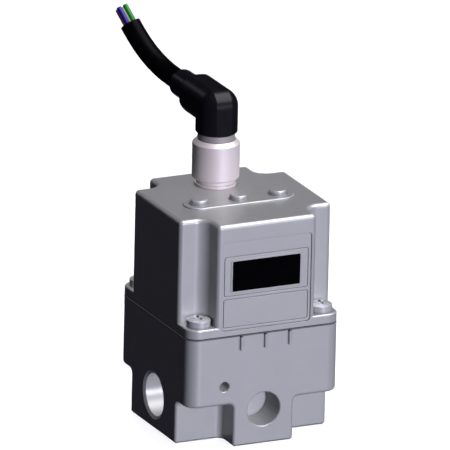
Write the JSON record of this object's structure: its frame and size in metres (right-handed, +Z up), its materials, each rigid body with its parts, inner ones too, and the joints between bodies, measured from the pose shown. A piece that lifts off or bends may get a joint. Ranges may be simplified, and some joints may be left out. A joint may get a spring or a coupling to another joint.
{
  "type": "electro pneumatic regulator",
  "caption": "Square die-cast air pressure regulator with side and front ports, a moulded cover with a black display and push buttons, and a right-angle plug with a short cable.",
  "frame": {"origin": "middle of the body's underside, at the centre of the bracket holes", "axes": "+X to the right of the front face, +Y to the back, +Z up; the supply port is on -X, the outlet port on -Y and the exhaust port on +X"},
  "size_m": [0.05, 0.0921, 0.113],
  "materials": {
    "die_cast_grey": "satin",
    "cover_grey": "satin",
    "panel_grey": "satin",
    "pilot_block_metal": "satin",
    "screw_steel": "satin",
    "black_window": "gloss",
    "display_black": "gloss",
    "board_green": "satin",
    "switch_black": "matte",
    "button_grey": "matte",
    "connector_metal": "satin",
    "insert_black": "matte",
    "contact_gold": "polished",
    "lock_ring_plastic": "matte",
    "plug_black": "satin",
    "cable_black": "matte",
    "core_blue": "satin",
    "core_green": "satin",
    "core_brown": "satin",
    "core_white": "satin",
    "seal_rubber": "matte",
    "valve_metal": "satin",
    "spring_steel": "satin",
    "solenoid_plastic": "matte",
    "coil_winding": "satin",
    "yoke_steel": "satin",
    "sensor_metal": "satin"
  },
  "bodies": {
    "housing": {"body": "die_cast_grey", "cover": "cover_grey", "joint_gasket": "seal_rubber", "cover_screws": "screw_steel", "front_panel": "panel_grey", "display_window": "black_window", "display_module": "display_black", "display_board": "board_green", "control_board": "board_green", "board_screws": "screw_steel", "switch_bases": "switch_black", "socket_shell": "connector_metal", "socket_washer": "seal_rubber", "socket_nut": "connector_metal", "socket_insert": "insert_black", "socket_pins": "contact_gold", "plug_seal": "seal_rubber", "plug_sleeve": "connector_metal", "plug_insert": "insert_black", "plug_contacts": "contact_gold", "plug_housing": "plug_black", "cable_jacket": "cable_black", "core_blue": "core_blue", "core_green": "core_green", "core_brown": "core_brown", "core_white": "core_white", "valve_guide": "pilot_block_metal", "guide_seals": "seal_rubber", "retaining_ring": "screw_steel", "valve_spring": "spring_steel", "diaphragm": "seal_rubber", "pilot_block": "pilot_block_metal", "pilot_screws": "screw_steel", "supply_valve_base": "solenoid_plastic", "supply_yoke": "yoke_steel", "supply_coil": "coil_winding", "supply_pole": "yoke_steel", "supply_plunger_spring": "spring_steel", "exhaust_valve_base": "solenoid_plastic", "exhaust_yoke": "yoke_steel", "exhaust_coil": "coil_winding", "exhaust_pole": "yoke_steel", "exhaust_plunger_spring": "spring_steel", "pressure_sensor": "sensor_metal"},
    "button_left": {"button_left": "button_grey", "switch_stem_left": "switch_black"},
    "button_middle": {"button_middle": "button_grey", "switch_stem_middle": "switch_black"},
    "button_right": {"button_right": "button_grey", "switch_stem_right": "switch_black"},
    "supply_valve": {"supply_valve": "valve_metal", "valve_face": "seal_rubber"},
    "diaphragm_assembly": {"diaphragm_plate": "valve_metal", "valve_rod": "valve_metal", "rod_seal": "seal_rubber"},
    "nut_carrier": {"nut_lock_ring": "lock_ring_plastic"},
    "coupling_nut": {"coupling_nut": "connector_metal"},
    "supply_plunger": {"supply_plunger": "yoke_steel"},
    "exhaust_plunger": {"exhaust_plunger": "yoke_steel"}
  },
  "joints": [
    {"name": "button_left_press", "type": "slide", "parent": "housing", "child": "button_left", "axis": [0, 0, -1], "range_m": [0, 0.0004], "stiffness_N_per_m": 3000, "springref_m": -0.0002},
    {"name": "button_middle_press", "type": "slide", "parent": "housing", "child": "button_middle", "axis": [0, 0, -1], "range_m": [0, 0.0004], "stiffness_N_per_m": 3000, "springref_m": -0.0002},
    {"name": "button_right_press", "type": "slide", "parent": "housing", "child": "button_right", "axis": [0, 0, -1], "range_m": [0, 0.0004], "stiffness_N_per_m": 3000, "springref_m": -0.0002},
    {"name": "supply_valve_slide", "type": "slide", "parent": "housing", "child": "supply_valve", "axis": [0, 0, -1], "range_m": [0, 0.0012], "stiffness_N_per_m": 1500, "springref_m": -0.001, "deforming": ["valve_spring", "diaphragm"]},
    {"name": "exhaust_lift", "type": "slide", "parent": "supply_valve", "child": "diaphragm_assembly", "axis": [0, 0, 1], "range_m": [0, 0.0008], "deforming": ["diaphragm"]},
    {"name": "nut_rise", "type": "slide", "parent": "housing", "child": "nut_carrier", "axis": [0, 0, 1], "range_m": [0, 0.0018]},
    {"name": "nut_turn", "type": "hinge", "parent": "nut_carrier", "child": "coupling_nut", "pos_m": [0, 0.0125, 0.079], "axis": [0, 0, 1], "range_deg": [0, 640]},
    {"name": "supply_plunger_slide", "type": "slide", "parent": "housing", "child": "supply_plunger", "axis": [0, 0, 1], "range_m": [0, 0.0005], "stiffness_N_per_m": 800, "springref_m": -0.001, "deforming": ["supply_plunger_spring"]},
    {"name": "exhaust_plunger_slide", "type": "slide", "parent": "housing", "child": "exhaust_plunger", "axis": [0, 0, 1], "range_m": [0, 0.0005], "stiffness_N_per_m": 800, "springref_m": -0.001, "deforming": ["exhaust_plunger_spring"]}
  ],
  "couplings": [
    {"joint": "nut_rise", "follows": "nut_turn", "m_per_rad": 0.00015915}
  ]
}
